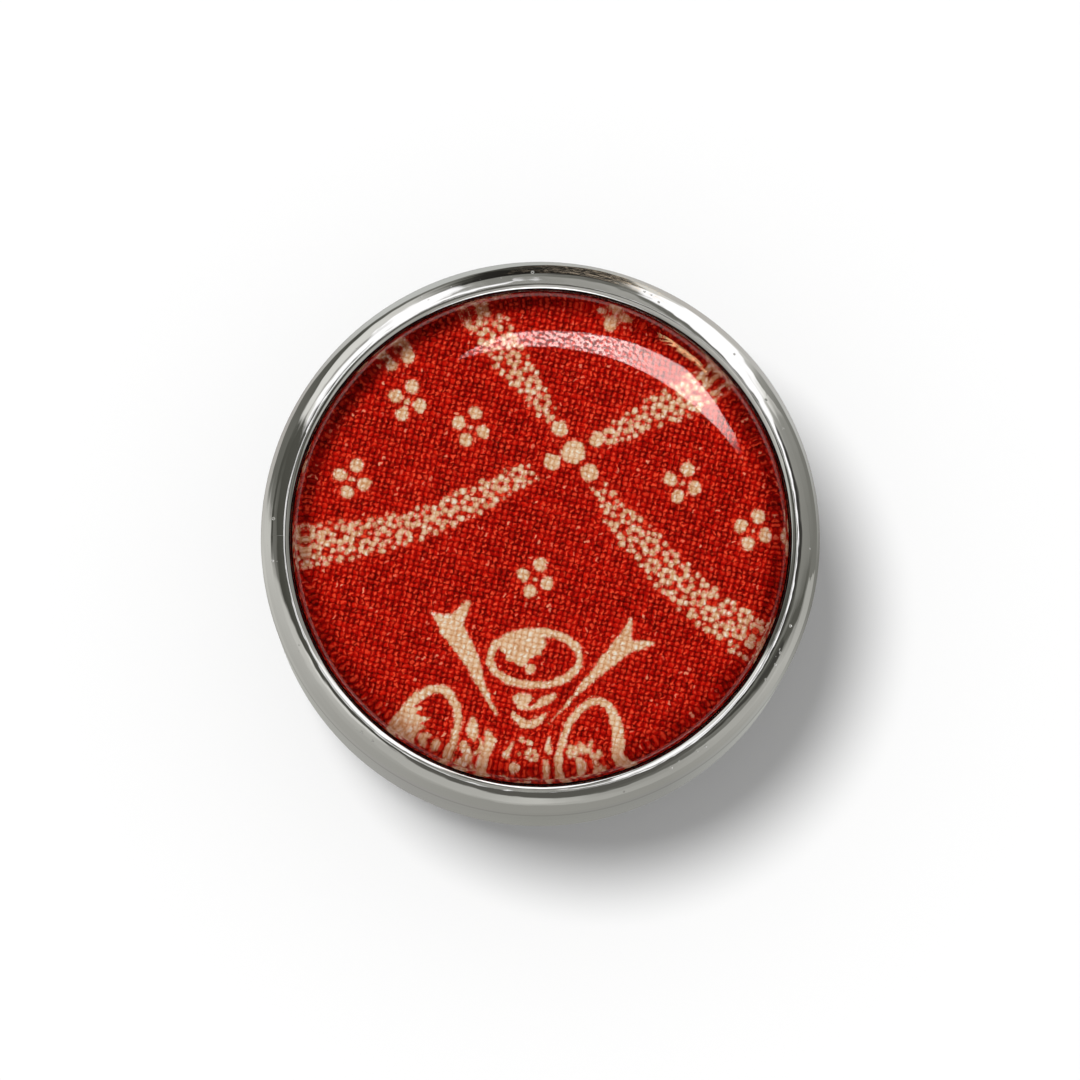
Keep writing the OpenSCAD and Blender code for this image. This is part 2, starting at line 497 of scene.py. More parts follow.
shoulder_start = -math.atan(math.tan(wall_draft) * shoulder_height / shoulder_width)
start_radius = crest_radius + shoulder_width * math.cos(shoulder_start)
start_z = shoulder_z + shoulder_height * math.sin(shoulder_start)
wall_foot_radius = start_radius - (start_z - back_z - foot_round) * math.tan(wall_draft)
print("rim in mm, from bore to ring:", round((ring_radius - bore_radius) / MM, 3))

# %% [markdown]
# The section runs from the tip of the post up it, out under its foot and across the back. The
# wall leans in a little, as a drawn cup does to leave its die.

# %% Bezel: post, back and wall
post_radius = 0.55 * MM
tip_length = 1.2 * MM
pad_radius = 2.3 * MM
pad_thickness = 0.4 * MM
pad_round = 0.08 * MM
pad_z = back_z - pad_thickness
wall_end = 0.1 * MM
round_start_z = shoulder_z + shoulder_width * math.sin(shoulder_start)

start_section("plated_bezel", 0, bezel_low.z)
line_to(post_radius / 4, bezel_low.z)
line_to(post_radius, bezel_low.z + tip_length)
line_to(post_radius, pad_z)
line_to(pad_radius - pad_round, pad_z)
arc_round(pad_radius - pad_round, pad_z + pad_round, -90, 4)
line_to(pad_radius, back_z)
line_to(wall_foot_radius - foot_round, back_z)
arc_round(wall_foot_radius - foot_round, back_z + foot_round, -90 + math.degrees(wall_draft), 10)
line_to(start_radius - wall_end * math.tan(wall_draft), round_start_z - wall_end)
line_to(start_radius, round_start_z)

# %% [markdown]
# The rim is a low oval bead: an arc is drawn first and then squeezed to its height, as an oval
# isn't a spin. Inside it a lip with a small round edge was rolled over the glass to hold it.

# %% Bezel: rim and lip
lip_round = 0.43 * MM
lip_turn = math.radians(48)
lip_edge_round = 0.03 * MM
lip_edge_drop = 0.08 * MM

arc_round(crest_radius, shoulder_z, -90 + math.degrees(shoulder_start), 28)
bezel_section = bmesh.from_edit_mesh(bpy.context.object.data)
bezel_section.select_flush(False)
for vertex in bezel_section.verts:
    vertex.select = vertex.co.z > round_start_z - tiny
bpy.ops.transform.resize(value=(1, 1, shoulder_height / shoulder_width),
                         center_override=(crest_radius, 0, shoulder_z))
for vertex in bezel_section.verts:
    vertex.select = vertex.co.z > rim_z - tiny
arc_round(crest_radius, rim_z - lip_round, -math.degrees(lip_turn), 14)
lip_edge = lip_round - lip_edge_round
lip_edge_radius = crest_radius - lip_edge * math.sin(lip_turn)
lip_edge_z = rim_z - lip_round + lip_edge * math.cos(lip_turn)
arc_round(lip_edge_radius, lip_edge_z, -90, 5)
line_to(bore_radius, lip_edge_z - lip_edge_drop)
line_to(bore_radius, back_z + back_thickness)
line_to(0, back_z + back_thickness)
bezel = turn_section()
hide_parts("bezel")
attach(bezel, "root")
rim_only.objects.link(bezel)

# %% [markdown]
# The glass is a moulded, fire-polished cabochon: a low domed face, a rounded shoulder, a steep
# bevel and a straight edge. The shoulder's arc starts at the dome's own slope, so its centre is
# on the line from the middle of the sphere to the place where they meet.

# %% Glass cabochon
cap_sphere = 28 * MM
cap_radius = 9.35 * MM
bevel_width = 0.20 * MM
bevel_slope = math.radians(72)
shoulder_slope = math.radians(50)
cap_slope = math.asin(cap_radius / cap_sphere)
cap_centre_z = glass_high.z - cap_sphere
bevel_radius = glass_high.x - bevel_width
glass_round = (bevel_radius - cap_radius) / (math.sin(shoulder_slope) - math.sin(cap_slope))
round_centre_radius = bevel_radius - glass_round * math.sin(shoulder_slope)
round_centre_z = cap_centre_z + (cap_sphere - glass_round) * math.cos(cap_slope)
bevel_top_z = round_centre_z + glass_round * math.cos(shoulder_slope)
edge_z = bevel_top_z - bevel_width * math.tan(bevel_slope)
print("straight edge of the glass in mm:", round((edge_z - glass_low.z) / MM, 3))

start_section("glass_cabochon", 0, cap_centre_z + cap_sphere)
arc_round(0, cap_centre_z, math.degrees(cap_slope), 40)
arc_round(round_centre_radius, round_centre_z, math.degrees(shoulder_slope - cap_slope), 16)
line_to(glass_high.x, edge_z)
line_to(glass_high.x, glass_low.z)
line_to(0, glass_low.z)
glass = turn_section(smooth_degrees=30)
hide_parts("glass_dome")
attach(glass, "root")

# %% [markdown]
# The clutch is a plain turned cap of plated brass with a rolled flange, pushed on the post.

# %% Clutch
flange_radius = clutch_high.x
flange_round = 0.4 * MM
body_radius = 4.8 * MM
body_round = 0.7 * MM
bore_floor = 0.7 * MM
post_bore = 0.65 * MM
flange_z = clutch_high.z - 2 * flange_round
start_section("push_clutch", 0, clutch_low.z)
line_to(body_radius - body_round, clutch_low.z)
arc_round(body_radius - body_round, clutch_low.z + body_round, -90, 10)
line_to(body_radius, flange_z)
line_to(flange_radius - flange_round, flange_z)
arc_round(flange_radius - flange_round, flange_z + flange_round, -180, 14)
line_to(post_bore, clutch_high.z)
line_to(post_bore, clutch_low.z + bore_floor)
line_to(0, clutch_low.z + bore_floor)
clutch = turn_section(sides=128)
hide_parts("clutch")
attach(clutch, "root")

# %% [markdown]
# The cloth is plain-weave cotton. Its grid has four points to each thread, so crowns and gaps can
# be real relief. It is stretched, as warp and weft differ, and turned as the cloth lies.

# %% Cotton: grid
warp_pitch = 0.2188 * MM
weft_pitch = 0.2048 * MM
points_per_thread = 4
step = warp_pitch / points_per_thread
weave_turn = math.radians(-12.7)
weave_radius = 8.9 * MM
half_count = math.ceil(weave_radius / (weft_pitch / points_per_thread))

bpy.ops.object.select_all(action="DESELECT")
bpy.ops.mesh.primitive_grid_add(x_subdivisions=2 * half_count, y_subdivisions=2 * half_count,
                                size=2 * half_count * step)
cloth = bpy.context.object
cloth.name = "printed_cotton"
bpy.ops.object.mode_set(mode="EDIT")
bpy.ops.mesh.select_all(action="SELECT")
bpy.ops.transform.resize(value=(1, weft_pitch / warp_pitch, 1), center_override=(0, 0, 0))
bpy.ops.mesh.select_all(action="DESELECT")
cloth_mesh = bmesh.from_edit_mesh(cloth.data)
for vertex in cloth_mesh.verts:
    vertex.select = vertex.co.xy.length > weave_radius
bpy.ops.mesh.delete(type="VERT")
bpy.ops.mesh.select_all(action="SELECT")
bpy.ops.transform.rotate(value=-weave_turn, orient_axis="Z", center_override=(0, 0, 0))
bpy.ops.transform.translate(value=(0, 0, cloth_high.z))
print("threads to the centimetre:", [round(10 * MM / pitch, 1) for pitch in (warp_pitch, weft_pitch)])

# %% [markdown]
# The cotton's edge is rolled down round a backing. The open edge of the grid is extruded in
# rings: each is made round, then brought to its own radius and depth in millimetres.

# %% Cotton: rolled edge
EDGE_RINGS = ((9.3, 0.04), (9.62, 0.08), (9.85, 0.2), (10.0, 0.45), (10.0, 1.0))
bpy.ops.mesh.select_mode(type="EDGE")
bpy.ops.mesh.select_all(action="DESELECT")
bpy.ops.mesh.select_non_manifold()
for ring_mm, depth_mm in EDGE_RINGS:
    bpy.ops.mesh.extrude_region_move()
    bpy.ops.transform.tosphere(value=1)
    ring = [v for v in bmesh.from_edit_mesh(cloth.data).verts if v.select]
    radius_now = sum(v.co.xy.length for v in ring) / len(ring)
    height_now = sum(v.co.z for v in ring) / len(ring)
    grow = ring_mm * MM / radius_now
    bpy.ops.transform.resize(value=(grow, grow, 1), center_override=(0, 0, height_now))
    bpy.ops.transform.translate(value=(0, 0, cloth_high.z - depth_mm * MM - height_now))
bpy.ops.mesh.edge_face_add()
bpy.ops.mesh.select_all(action="SELECT")
bpy.ops.mesh.normals_make_consistent(inside=False)
bpy.ops.object.mode_set(mode="OBJECT")
print("cloth has", len(cloth.data.vertices), "points, ring of", len(ring))

# %% [markdown]
# Nothing woven is quite even. Two kinds of chance are enough: a smooth field, for what changes
# slowly over the cloth, and one value for each thread.

# %% Cotton: chance
places = np.empty(3 * len(cloth.data.vertices))
cloth.data.vertices.foreach_get("co", places)
places = places.reshape(-1, 3)
turn_cos, turn_sin = math.cos(weave_turn), math.sin(weave_turn)
warp_at = (places[:, 0] * turn_cos + places[:, 1] * turn_sin) / warp_pitch
weft_at = (-places[:, 0] * turn_sin + places[:, 1] * turn_cos) / weft_pitch
wave_count = 7
most_threads = 200


def ripple(x, y, size, seed):
    """A smooth random field from -1 to 1, with bumps of about this size."""
    draws = np.random.RandomState(seed)
    headings = draws.uniform(0, math.tau, wave_count)
    phases = draws.uniform(0, math.tau, wave_count)
    shares = draws.uniform(0.7, 1.6, wave_count)
    total = np.zeros_like(x)
    for heading, phase, share in zip(headings, phases, shares):
        along = x * math.cos(heading) + y * math.sin(heading)
        total += np.sin(along * math.tau * share / size + phase)
    return total / wave_count


def each_thread(index, seed):
    """A random value for each thread, the same wherever that thread is met."""
    table = np.random.RandomState(seed).normal(0, 1, 2 * most_threads + 1)
    return table[np.clip(index.astype(int) + most_threads, 0, 2 * most_threads)]


# %% [markdown]
# A thread is round and goes over one crossing and under the next, so its height is a round
# section on a wave, and the higher of warp and weft shows. It is uneven, and wanders sideways,
# each by tables of amount, size in threads and seed.

# %% Cotton: relief
crown = 0.55
yarn_half = 0.52
relief_low, relief_high = 0.1, 1.75
relief_depth = 0.085 * MM
UNEVEN = ((0.12, 3.1, 3), (0.10, 1.3, 4))
WANDER = ((0, 0.035, 11, 11), (1, 0.035, 13, 12), (0, 0.03, 2.6, 13), (1, 0.03, 2.6, 14))

warp_thread = np.round(weft_at)
weft_thread = np.round(warp_at)
warp_across = (weft_at - warp_thread) / yarn_half
weft_across = (warp_at - weft_thread) / yarn_half
warp_height = (crown * np.cos(math.pi * (warp_at + warp_thread))
               + np.sqrt(np.clip(1 - warp_across ** 2, 0, 1)))
weft_height = (-crown * np.cos(math.pi * (weft_at + weft_thread))
               + np.sqrt(np.clip(1 - weft_across ** 2, 0, 1)))
relief = np.maximum(warp_height, weft_height)
for amount, bump_size, seed in UNEVEN:
    relief += amount * ripple(warp_at, weft_at, bump_size, seed)
height_share = np.clip((relief - relief_low) / (relief_high - relief_low), 0, 1)

on_weave = np.hypot(places[:, 0], places[:, 1]) < weave_radius + 1e-6
for axis, amount_mm, bump_size, seed in WANDER:
    places[:, axis] += on_weave * amount_mm * MM * ripple(warp_at, weft_at, bump_size, seed)
flat_places = places[:, :2].copy()
places[:, 2] -= on_weave * relief_depth * (1 - height_share)
cloth.data.vertices.foreach_set("co", places.ravel())
cloth.data.update()
print("deepest relief in mm:", round(relief_depth * (1 - height_share[on_weave].min()) / MM, 3))

# %% [markdown]
# The print is laid out as it is seen through the dome, in millimetres from the middle of the
# picture. One function follows the bent lines of sight from the camera to the cloth. Another
# steps nearer, for each point of the cloth, until the line meets it.

# %% Where a point of the cloth is seen
glass_index = 1.52
first_guess = 1.06
guess_steps = 12


def cloth_point(seen):
    """The cloth's x and y that show at these places on the picture plane."""
    start = np.array(camera.location)
    sphere_centre = np.array([0, 0, cap_centre_z])
    target = np.array(aim) + seen[:, :1] * np.array(view_right) + seen[:, 1:] * np.array(view_up)
    sight = target - start
    sight /= np.linalg.norm(sight, axis=1)[:, None]
    to_centre = start - sphere_centre
    half_b = sight @ to_centre
    root = np.sqrt(np.maximum(half_b ** 2 - (to_centre @ to_centre - cap_sphere ** 2), 0))
    met = start + (-half_b - root)[:, None] * sight
    normal = (met - sphere_centre) / cap_sphere
    facing = -(sight * normal).sum(axis=1)
    inside = np.sqrt(1 - (1 - facing ** 2) / glass_index ** 2)
    bent = sight / glass_index + ((facing / glass_index - inside)[:, None]) * normal
    fall = (cloth_high.z - met[:, 2]) / bent[:, 2]
    return (met + fall[:, None] * bent)[:, :2]


def seen_place(on_cloth):
    """The place on the picture plane, in metres, where each point of the cloth shows."""
    seen = on_cloth * first_guess
    for _ in range(guess_steps):
        seen = seen + on_cloth - cloth_point(seen)
    return seen


# %% [markdown]
# Ink sits on the crowns of the threads, so its edge follows them in small steps. Each point's
# place is drawn partly towards the middle of its crossing.

# %% Ink on the crowns
edge_snap = 0.22


def thread_place(warp_number, weft_number):
    """The x and y of a place that is given in threads."""
    across, along = warp_number * warp_pitch, weft_number * weft_pitch
    return np.stack([across * turn_cos - along * turn_sin, across * turn_sin + along * turn_cos], axis=1)


crossing = flat_places + thread_place(weft_thread - warp_at, warp_thread - weft_at)
print_places = flat_places * (1 - edge_snap) + crossing * edge_snap
seen_mm = seen_place(print_places) / MM
print("widest place seen, in mm:", round(float(np.abs(seen_mm[on_weave]).max()), 2))

# %% [markdown]
# A print is a stack of simple shapes. Each gives the distance from every point to its edge,
# below zero inside, and the smallest wins. So an edge stays sharp between the grid's points, and
# the same distance makes the halo round the ink.

# %% Print: shapes
far_off = 9.0
ink = np.full(len(seen_mm), far_off)


def lay(distance):
    """Adds a shape to the print."""
    np.minimum(ink, distance, out=ink)


def dot(x, y, radius):
    """The distance to a round dot."""
    return np.hypot(seen_mm[:, 0] - x, seen_mm[:, 1] - y) - radius


def ring_of_dots(x, y, ring, radius, count, turn_by=0.0):
    """Lays dots evenly round a centre."""
    for i in range(count):
        angle = turn_by + math.tau * i / count
        lay(dot(x + ring * math.cos(angle), y + ring * math.sin(angle), radius))


def taper(x0, y0, r0, x1, y1, r1):
    """The distance to a stroke that runs from one radius to another."""
    along = np.array([x1 - x0, y1 - y0])
    share = np.clip(((seen_mm - [x0, y0]) @ along) / (along @ along), 0, 1)
    return np.hypot(seen_mm[:, 0] - x0 - share * along[0],
                    seen_mm[:, 1] - y0 - share * along[1]) - (r0 + (r1 - r0) * share)


def chain(points):
    """Lays a stroke from each point of x, y and radius straight to the next."""
    for start, end in zip(points, points[1:]):
        lay(taper(*start, *end))


def stroke(points):
    """Lays a curved stroke through points of x, y and radius, rounded between them."""
    row = np.array([points[0], *points, points[-1]], float)
    fine = []
    for i in range(1, len(row) - 2):
        for t in np.linspace(0, 1, 5)[:-1]:
            a, b, c, d = row[i - 1:i + 3]
            fine.append(0.5 * (2 * b + (c - a) * t + (2 * a - 5 * b + 4 * c - d) * t ** 2
                               + (3 * b - a - 3 * c + d) * t ** 3))
    fine.append(row[-2])
    chain(fine)


# %% [markdown]
# Scattered florets have four petals round a small eye, a little askew, as a small block prints
# them. Where the two bands of the trellis cross, a large dot has four smaller ones round it.

# %% Print: florets and crossing
FLORETS = (
    (-5.31, 5.55), (-2.78, 4.51), (-7.53, 2.41), (5.71, 2.25), (8.53, 0.36),
    (-0.20, -1.57), (-5.75, 7.53), (3.02, 9.12), (-9.3, -4.1), (6.4, -7.8),
)
FLORET_PETALS = ((0.20, 0.60), (-0.48, 0.20), (0.48, -0.16), (-0.20, -0.48))
CROSSING = (
    (1.33, 3.54, 0.47), (0.78, 4.47, 0.33), (2.28, 4.02, 0.29), (0.48, 3.15, 0.33),
    (1.97, 2.71, 0.35),
)
eye_radius, petal_radius = 0.10, 0.27
for x, y in FLORETS:
    lay(dot(x, y, eye_radius))
    for dx, dy in FLORET_PETALS:
        lay(dot(x + dx, y + dy, petal_radius))
for x, y, radius in CROSSING:
    lay(dot(x, y, radius))

# %% [markdown]
# The bands are packed with rosettes, and with posies and dots in what room is left: of many
# random places, each motif takes the one nearest to the rest that touches nothing. A band has a
# seed, and rows of a point on its middle line and its width.

# %% Print: bands of the trellis
BANDS = {
    "left": (21, ((-10.4, -0.35, 1.9), (-9.05, -0.20, 1.8), (-6.44, 0.20, 1.55),
                  (-4.43, 0.80, 1.35), (-2.41, 1.73, 1.25), (-0.30, 2.80, 0.85))),
    "right": (22, ((2.75, 4.2, 0.85), (4.02, 4.83, 1.2), (5.63, 5.63, 1.6), (7.3, 6.55, 1.6),
                   (9.0, 7.5, 1.6))),
    "top": (23, ((0.45, 4.9, 0.7), (-0.05, 5.63, 1.05), (-0.85, 6.72, 1.35), (-1.61, 7.95, 1.6),
                 (-2.6, 9.4, 1.8))),
    "foot": (24, ((2.3, 2.2, 0.7), (2.75, 1.55, 1.2), (3.75, 0.25, 1.45), (5.0, -1.15, 1.65),
                  (6.5, -2.5, 1.8), (8.25, -3.75, 1.9), (9.6, -4.7, 1.9))),
}
MOTIFS = (("rosette", 0.38, 0.01), ("posy", 0.27, 0.01), ("dot", 0.15, 0.03), ("dot", 0.10, 0.04))
rosettes_per_mm = 1.6
tries = 900
edge_play = 0.05


def motif(kind, x, y, size, draws):
    """Lays one motif: a ring of six dots, a ring of three, or a single dot."""
    turned = draws.uniform(0, math.tau)
    if kind == "rosette":
        ring_of_dots(x, y, 0.66 * size, 0.34 * size, 6, turned)
    elif kind == "posy":
        ring_of_dots(x, y, 0.56 * size, 0.44 * size, 3, turned)
    else:
        lay(dot(x, y, size * draws.uniform(0.7, 1.0)))


def band(points, seed):
    """Packs a band with rosettes, then small posies, then dots, each as near the rest as it goes."""
    draws = np.random.RandomState(seed)
    row = np.array(points)
    lengths = np.concatenate([[0], np.cumsum(np.hypot(*np.diff(row[:, :2], axis=0).T))])
    placed = np.zeros((0, 3))
    for kind, radius, gap in MOTIFS:
        while True:
            along = draws.uniform(0, lengths[-1], tries)
            x, y, width = [np.interp(along, lengths, row[:, k]) for k in range(3)]
            ahead, behind = [[np.interp(along + reach, lengths, row[:, k]) for k in range(2)]
                             for reach in (0.1, -0.1)]
            dx, dy = ahead[0] - behind[0], ahead[1] - behind[1]
            size = radius * draws.uniform(0.88, 1.1, tries)
            room_left = width / 2 - size + edge_play
            across = draws.uniform(-1, 1, tries) * room_left
            x = x - dy / np.hypot(dx, dy) * across
            y = y + dx / np.hypot(dx, dy) * across
            apart = np.full(tries, far_off)
            for px, py, pr in placed:
                apart = np.minimum(apart, np.hypot(x - px, y - py) - size - pr)
            apart[(apart < gap) | (room_left < 0)] = np.inf
            best = int(np.argmin(apart))
            enough = kind == "rosette" and len(placed) > rosettes_per_mm * lengths[-1]
            if apart[best] == np.inf or enough:
                break
            placed = np.vstack([placed, (x[best], y[best], size[best])])
            motif(kind, x[best], y[best], size[best], draws)
    return len(placed)


for name, (seed, points) in BANDS.items():
    print(name, "band has", band(points, seed), "motifs")

# %% [markdown]
# At the foot an oval ring stands between two forked leaves of tapered strokes. Inside the ring
# lies a ragged patch of ink with a dot under it.

# %% Print: oval and forked leaves
oval_x, oval_y, oval_a, oval_b, oval_half = -0.21, -4.74, 1.80, 1.07, 0.15
oval_dx, oval_dy = seen_mm[:, 0] - oval_x, seen_mm[:, 1] - oval_y
oval_reach = np.hypot(oval_dx / oval_a, oval_dy / oval_b)
oval_slope = np.maximum(np.hypot(oval_dx / oval_a ** 2, oval_dy / oval_b ** 2), 1e-6)
oval = oval_reach * (oval_reach - 1) / oval_slope
lay(np.abs(oval) - oval_half)
patch = np.minimum.reduce([dot(-0.95, -4.25, 0.62), dot(-0.30, -4.10, 0.5), dot(-0.72, -4.62, 0.42)])
ragged = 0.16 * ripple(seen_mm[:, 0], seen_mm[:, 1], 0.45, 31)
lay(np.maximum(patch + ragged, oval))
lay(dot(-0.36, -5.15, 0.20))

LEAVES = (
    ((-3.60, -3.45, 0.48), (-2.82, -4.67, 0.35), (-2.25, -6.00, 0.13), (-1.73, -7.00, 0.03)),
    ((-3.70, -3.45, 0.36), (-4.30, -2.92, 0.06)),
    ((-3.45, -3.35, 0.36), (-2.92, -2.55, 0.14)),
    ((3.30, -4.23, 0.42), (2.41, -5.15, 0.24), (1.60, -6.00, 0.11)),
    ((1.60, -6.00, 0.07), (0.36, -7.36, 0.03)),
    ((3.35, -4.10, 0.34), (3.65, -3.24, 0.10)),
    ((3.55, -4.25, 0.28), (4.52, -4.14, 0.08)),
)
for points in LEAVES:
    chain(points)

# %% [markdown]
# Below the oval lie crescents, two arches and many small leaves. Each is a curved stroke that
# swells and thins, as an engraver's tool leaves it.

# %% Print: arches and small leaves
STROKES = (
    ((-0.98, -6.35, 0.16), (-0.72, -6.40, 0.27), (-0.42, -6.28, 0.12), (-0.28, -6.33, 0.05)),
    ((-0.80, -6.60, 0.14), (-0.40, -6.74, 0.08), (-0.09, -6.62, 0.11), (0.18, -6.44, 0.20),
     (0.58, -6.24, 0.09)),
    ((-1.08, -6.98, 0.08), (-0.80, -7.27, 0.17), (-0.40, -7.42, 0.14), (-0.04, -7.20, 0.15),
     (0.27, -6.94, 0.04)),
    ((-5.95, -7.75, 0.22), (-5.55, -7.00, 0.20), (-4.95, -6.32, 0.20), (-4.30, -5.98, 0.18),
     (-3.75, -6.08, 0.18), (-3.35, -6.70, 0.18), (-3.30, -7.30, 0.17), (-3.45, -8.00, 0.17),
     (-3.70, -8.60, 0.20), (-3.90, -9.20, 0.22)),
    ((0.76, -9.60, 0.17), (0.76, -8.72, 0.16), (0.94, -7.96, 0.14), (1.30, -7.15, 0.16),
     (1.83, -6.62, 0.16), (2.41, -6.44, 0.16), (2.84, -6.80, 0.20), (3.11, -7.51, 0.24),
     (3.13, -8.18, 0.25), (3.04, -9.20, 0.22)),
    ((-5.78, -7.40, 0.30), (-5.30, -6.95, 0.24), (-4.80, -6.72, 0.05)),
    ((-5.60, -7.60, 0.30), (-5.00, -7.20, 0.22), (-4.45, -7.18, 0.04)),
    ((-5.40, -7.80, 0.28), (-5.00, -7.55, 0.20), (-4.62, -7.48, 0.05)),
    ((-5.10, -8.10, 0.26), (-4.80, -7.90, 0.18), (-4.45, -7.80, 0.07)),
    ((-4.90, -8.35, 0.20), (-4.60, -8.20, 0.12)),
    ((-4.12, -8.05, 0.12), (-4.30, -8.35, 0.20), (-4.50, -8.75, 0.24)),
    ((-2.68, -7.10, 0.04), (-2.70, -7.60, 0.23), (-2.64, -8.00, 0.10)),
    ((-2.40, -8.00, 0.09), (-2.36, -8.30, 0.09), (-2.60, -8.55, 0.08)),
    ((-3.07, -8.20, 0.15), (-2.90, -8.60, 0.20), (-3.00, -9.20, 0.30)),
    ((-2.10, -7.58, 0.05), (-2.01, -8.05, 0.23), (-2.20, -8.58, 0.21), (-2.55, -9.20, 0.20)),
    ((-1.09, -8.12, 0.05), (-1.36, -8.62, 0.14)),
    ((0.36, -7.94, 0.05), (0.33, -8.40, 0.15)),
    ((0.20, -8.80, 0.07), (0.25, -9.10, 0.12), (0.32, -9.60, 0.12)),
    ((1.58, -8.10, 0.05), (1.68, -8.35, 0.17), (1.95, -8.45, 0.10), (2.05, -8.12, 0.06)),
    ((2.08, -8.10, 0.07), (2.02, -8.45, 0.09), (2.20, -8.80, 0.08), (2.16, -9.20, 0.09)),
    ((1.45, -8.75, 0.05), (1.65, -8.95, 0.15), (1.90, -9.05, 0.08)),
)
DOTS = (
    (-0.74, -8.02, 0.13), (-0.43, -8.09, 0.13), (-0.83, -8.56, 0.07), (-1.03, -9.14, 0.24),
    (2.34, -8.58, 0.17),
)
for points in STROKES:
    stroke(points)
for x, y, radius in DOTS:
    lay(dot(x, y, radius))
ring_of_dots(-0.33, -8.63, 0.19, 0.10, 7)
ring_of_dots(1.32, -8.48, 0.16, 0.12, 6)
print("share of the cloth with ink:", round(float((ink[on_weave] < 0).mean()), 3))

# %% [markdown]
# What was worked out for each point goes with the mesh: how high the weave is, how far the
# ink's edge is, how light the thread is, and which threads cross there.

# %% Cotton: attributes for the finish
middle_tone, tone_spread = 0.5, 0.05
edge_height = 0.35
warp_on_top = warp_height > weft_height
tone = np.where(warp_on_top, each_thread(warp_thread, 41), each_thread(weft_thread, 42))
tone = middle_tone + tone_spread * tone + tone_spread * ripple(warp_at, weft_at, 9, 43)
for name, values in (("height", np.where(on_weave, height_share, edge_height)), ("ink", ink),
                     ("tone", tone), ("warp", warp_at), ("weft", weft_at)):
    attribute = cloth.data.attributes.new(name, "FLOAT", "POINT")
    attribute.data.foreach_set("value", values.astype(np.float32))
bpy.ops.object.select_all(action="DESELECT")
bpy.context.view_layer.objects.active = cloth
cloth.select_set(True)
bpy.ops.object.shade_smooth_by_angle(angle=math.radians(60))
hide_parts("cloth_disc")
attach(cloth, "root")

# %% [markdown]
# The finish counts the threads, so it knows which crossing it is at. Noise sways the count, as
# fibres are never in line. Each crossing has three chances, and a fine noise is the fibres.

# %% Finish of the cotton: crossings
cotton, add = new_material("printed plain-weave cotton")
height, ink_edge, tone_at, warp_count, weft_count = [
    add("Attribute", attribute_name=name).outputs["Fac"]
    for name in ("height", "ink", "tone", "warp", "weft")]
cloth_at = add("TexCoord").outputs["Object"]
fibre_size, sway_size = 0.04 * MM, 0.16 * MM
fibre = add("TexNoise", {"Vector": cloth_at, "Scale": 1 / fibre_size, "Detail": 3.0, "Roughness": 0.6})
sway = add("TexNoise", {"Vector": cloth_at, "Scale": 1 / sway_size, "Detail": 2.0})
sway = add("VectorMath MULTIPLY_ADD", [sway.outputs["Color"], (1.3, 1.3, 0), (-0.65, -0.65, 0)])
threads = add("CombineXYZ", [warp_count, weft_count])
threads = add("VectorMath ADD", [threads, sway])
crossing_mid = add("VectorMath ADD", [threads, (0.5, 0.5, 0)])
crossing_mid = add("VectorMath FLOOR", [crossing_mid])
in_crossing = add("VectorMath SUBTRACT", [threads, crossing_mid])
chance = add("TexWhiteNoise", {"Vector": crossing_mid}, noise_dimensions="2D")
chance = chance.outputs["Color"]
chances = add("SeparateXYZ", [chance])

# %% [markdown]
# Each thread's crown gets a painted highlight, a slanting glint along the yarn's twist: a soft
# oval in each crossing, shifted, turned and lit by chance.

# %% Finish of the cotton: painted glints
glint_length, glint_width = 0.46, 0.24
# painted highlight: a bright oval painted into the colour of each crossing
slant = add("MapRange", {0: chances.outputs[0], 3: -1.75, 4: -0.75})
shift = add("VectorMath MULTIPLY_ADD", [chance, (0.42, 0.42, 0), (-0.21, -0.21, 0)])
glint_at = add("VectorMath ADD", [in_crossing, shift])
glint_at = add("VectorRotate", {"Vector": glint_at, "Angle": slant}, rotation_type="Z_AXIS")
glint_at = add("VectorMath MULTIPLY", [glint_at, (1 / glint_length, 1 / glint_width, 0)])
glint_reach = add("VectorMath LENGTH", [glint_at])
painted_glint = add("MapRange", [glint_reach, 1.15, 0.35], interpolation_type="SMOOTHSTEP")
painted_glint_light = add("MapRange", {0: chances.outputs[1], 3: 0.2, 4: 1.1})
painted_glint = add("Math MULTIPLY", [painted_glint, painted_glint_light])

# %% [markdown]
# The colour follows one number, low in the gaps and high on the crowns. The relief gives half
# of it, as painted shade in the gaps and painted light on the crowns. It falls towards the edge of each
# crossing, which is more painted shade. It also differs by crossing, thread and fibre.

# %% Finish of the cotton: painted light and shade, and tone
from_mid = add("VectorMath ABSOLUTE", [in_crossing])
from_mid = add("SeparateXYZ", [from_mid])
from_mid = add("Math MAXIMUM", [from_mid.outputs[0], from_mid.outputs[1]])
by_fibre = add("MapRange", [fibre, 0.25, 0.75, -0.3, 0.3])
# painted light on the crowns, and painted shade in the gaps and at the edge of each crossing
painted_crown_light = add("Math MULTIPLY_ADD", [height, 0.45, 0.36])
painted_gap_shade = add("MapRange", [from_mid, 0.28, 0.5, 0.0, -0.36])
by_crossing = add("MapRange", {0: chances.outputs[2], 3: -0.16, 4: 0.16})
by_thread = add("MapRange", [tone_at, 0.0, 1.0, -0.4, 0.4])
painted_shade_and_tone = by_fibre
for part in (painted_crown_light, painted_gap_shade, by_crossing, by_thread):
    painted_shade_and_tone = add("Math ADD", [painted_shade_and_tone, part])
